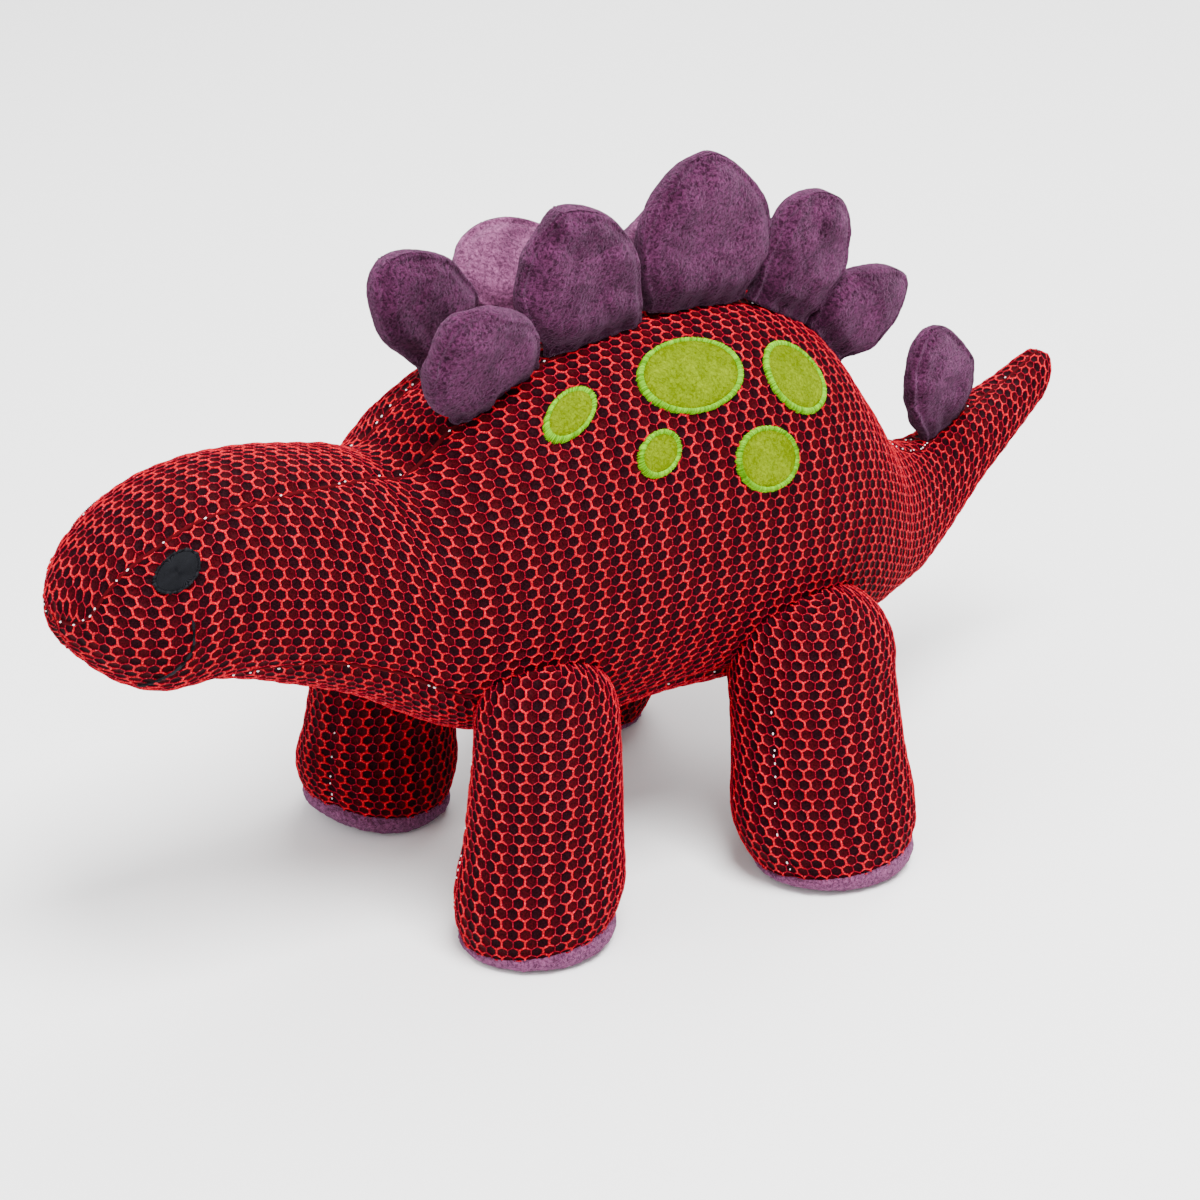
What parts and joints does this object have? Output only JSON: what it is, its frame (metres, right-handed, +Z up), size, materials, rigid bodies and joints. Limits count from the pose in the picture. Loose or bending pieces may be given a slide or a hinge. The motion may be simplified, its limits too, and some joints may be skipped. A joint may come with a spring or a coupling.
{
  "type": "stuffed dinosaur",
  "caption": "Plush stegosaurus standing on stubby legs: red honeycomb-mesh covers over stuffing, purple plush back plates and soles, lime spots.",
  "frame": {"origin": "centre of the bounding box's floor face, on the plane the four soles stand on", "axes": "+Z up, -Y towards the head, +Y towards the tail, +X to the animal's left side"},
  "size_m": [0.215, 0.46, 0.2599],
  "materials": {
    "mesh_cloth": "red honeycomb mesh over a dark maroon backing",
    "plate_plush": "short-pile purple plush",
    "sole_plush": "short-pile purple plush",
    "spot_plush": "short-pile lime plush",
    "spot_thread": "satin-stitched lime thread",
    "face_thread": "black embroidery thread",
    "stuffing": "loose white polyester filling"
  },
  "bodies": {
    "torso": {"torso_left_panel": "mesh_cloth", "torso_right_panel": "mesh_cloth", "back_gusset": "mesh_cloth", "belly_gusset": "mesh_cloth", "torso_filling": "stuffing", "spot_left_1": "spot_plush", "spot_left_2": "spot_plush", "spot_left_3": "spot_plush", "spot_left_4": "spot_plush", "spot_left_5": "spot_plush", "spot_right_1": "spot_plush", "spot_right_2": "spot_plush", "spot_right_3": "spot_plush", "spot_right_4": "spot_plush", "spot_right_5": "spot_plush", "spot_edging_left": "spot_thread", "spot_edging_right": "spot_thread"},
    "head": {"head_left_panel": "mesh_cloth", "head_right_panel": "mesh_cloth", "head_gusset": "mesh_cloth", "throat_gusset": "mesh_cloth", "head_filling": "stuffing", "eyes": "face_thread", "mouth_stitches": "face_thread"},
    "tail": {"tail_left_panel": "mesh_cloth", "tail_right_panel": "mesh_cloth", "tail_filling": "stuffing"},
    "leg_front_left": {"leg_cover_front_left": "mesh_cloth", "leg_filling_front_left": "stuffing", "sole_front_left": "sole_plush"},
    "leg_front_right": {"leg_cover_front_right": "mesh_cloth", "leg_filling_front_right": "stuffing", "sole_front_right": "sole_plush"},
    "leg_rear_left": {"leg_cover_rear_left": "mesh_cloth", "leg_filling_rear_left": "stuffing", "sole_rear_left": "sole_plush"},
    "leg_rear_right": {"leg_cover_rear_right": "mesh_cloth", "leg_filling_rear_right": "stuffing", "sole_rear_right": "sole_plush"},
    "plate_left_1": {"plate_cover_left_1": "plate_plush", "plate_filling_left_1": "stuffing"},
    "plate_left_2": {"plate_cover_left_2": "plate_plush", "plate_filling_left_2": "stuffing"},
    "plate_left_3": {"plate_cover_left_3": "plate_plush", "plate_filling_left_3": "stuffing"},
    "plate_left_4": {"plate_cover_left_4": "plate_plush", "plate_filling_left_4": "stuffing"},
    "plate_left_5": {"plate_cover_left_5": "plate_plush", "plate_filling_left_5": "stuffing"},
    "plate_right_1": {"plate_cover_right_1": "plate_plush", "plate_filling_right_1": "stuffing"},
    "plate_right_2": {"plate_cover_right_2": "plate_plush", "plate_filling_right_2": "stuffing"},
    "plate_right_3": {"plate_cover_right_3": "plate_plush", "plate_filling_right_3": "stuffing"},
    "plate_right_4": {"plate_cover_right_4": "plate_plush", "plate_filling_right_4": "stuffing"},
    "plate_tail": {"plate_cover_tail": "plate_plush", "plate_filling_tail": "stuffing"}
  },
  "joints": [
    {"name": "head_nod", "type": "hinge", "parent": "torso", "child": "head", "pos_m": [0, -0.118, 0.13206], "axis": [1, 0, 0], "range_deg": [-15, 15], "stiffness_Nm_per_rad": 0.6},
    {"name": "tail_wag", "type": "hinge", "parent": "torso", "child": "tail", "pos_m": [0, 0.13, 0], "axis": [0, 0, 1], "range_deg": [-25, 25], "stiffness_Nm_per_rad": 0.12},
    {"name": "leg_swing_front_left", "type": "hinge", "parent": "torso", "child": "leg_front_left", "pos_m": [0.032, -0.071, 0.077], "axis": [1, 0, 0], "range_deg": [-20, 20], "stiffness_Nm_per_rad": 1.2},
    {"name": "leg_swing_front_right", "type": "hinge", "parent": "torso", "child": "leg_front_right", "pos_m": [-0.032, -0.071, 0.077], "axis": [1, 0, 0], "range_deg": [-20, 20], "stiffness_Nm_per_rad": 1.2},
    {"name": "leg_swing_rear_left", "type": "hinge", "parent": "torso", "child": "leg_rear_left", "pos_m": [0.032, 0.042, 0.072], "axis": [1, 0, 0], "range_deg": [-20, 20], "stiffness_Nm_per_rad": 1.2},
    {"name": "leg_swing_rear_right", "type": "hinge", "parent": "torso", "child": "leg_rear_right", "pos_m": [-0.032, 0.042, 0.072], "axis": [1, 0, 0], "range_deg": [-20, 20], "stiffness_Nm_per_rad": 1.2},
    {"name": "plate_fold_left_1", "type": "hinge", "parent": "torso", "child": "plate_left_1", "pos_m": [0.01783, -0.06774, 0.19703], "axis": [0.0428, 0.9259, 0.3753], "range_deg": [-10, 40], "stiffness_Nm_per_rad": 0.03},
    {"name": "plate_fold_left_2", "type": "hinge", "parent": "torso", "child": "plate_left_2", "pos_m": [0.01673, -0.02576, 0.20834], "axis": [0.015, 0.9907, 0.1353], "range_deg": [-10, 40], "stiffness_Nm_per_rad": 0.03},
    {"name": "plate_fold_left_3", "type": "hinge", "parent": "torso", "child": "plate_left_3", "pos_m": [0.01572, 0.02183, 0.21086], "axis": [-0.0012, 0.9964, -0.0853], "range_deg": [-10, 40], "stiffness_Nm_per_rad": 0.03},
    {"name": "plate_fold_left_4", "type": "hinge", "parent": "torso", "child": "plate_left_4", "pos_m": [0.01664, 0.06039, 0.19937], "axis": [-0.0485, 0.8729, -0.4856], "range_deg": [-10, 40], "stiffness_Nm_per_rad": 0.03},
    {"name": "plate_fold_left_5", "type": "hinge", "parent": "torso", "child": "plate_left_5", "pos_m": [0.0159, 0.08536, 0.17716], "axis": [-0.0581, 0.6247, -0.7787], "range_deg": [-10, 40], "stiffness_Nm_per_rad": 0.03},
    {"name": "plate_fold_right_1", "type": "hinge", "parent": "torso", "child": "plate_right_1", "pos_m": [-0.01794, -0.06706, 0.1973], "axis": [-0.0414, 0.9245, 0.379], "range_deg": [-40, 10], "stiffness_Nm_per_rad": 0.03},
    {"name": "plate_fold_right_2", "type": "hinge", "parent": "torso", "child": "plate_right_2", "pos_m": [-0.01684, -0.0276, 0.20805], "axis": [-0.0158, 0.9896, 0.1427], "range_deg": [-40, 10], "stiffness_Nm_per_rad": 0.03},
    {"name": "plate_fold_right_3", "type": "hinge", "parent": "torso", "child": "plate_right_3", "pos_m": [-0.01606, 0.03513, 0.20902], "axis": [0.0155, 0.9785, -0.2057], "range_deg": [-40, 10], "stiffness_Nm_per_rad": 0.03},
    {"name": "plate_fold_right_4", "type": "hinge", "parent": "torso", "child": "plate_right_4", "pos_m": [-0.01638, 0.07717, 0.18688], "axis": [0.0584, 0.7196, -0.6919], "range_deg": [-40, 10], "stiffness_Nm_per_rad": 0.03},
    {"name": "plate_fold_tail", "type": "hinge", "parent": "tail", "child": "plate_tail", "pos_m": [-0.00458, 0.1621, 0.12408], "axis": [-0.141, 0.9557, 0.2584], "range_deg": [-30, 30], "stiffness_Nm_per_rad": 0.03}
  ]
}
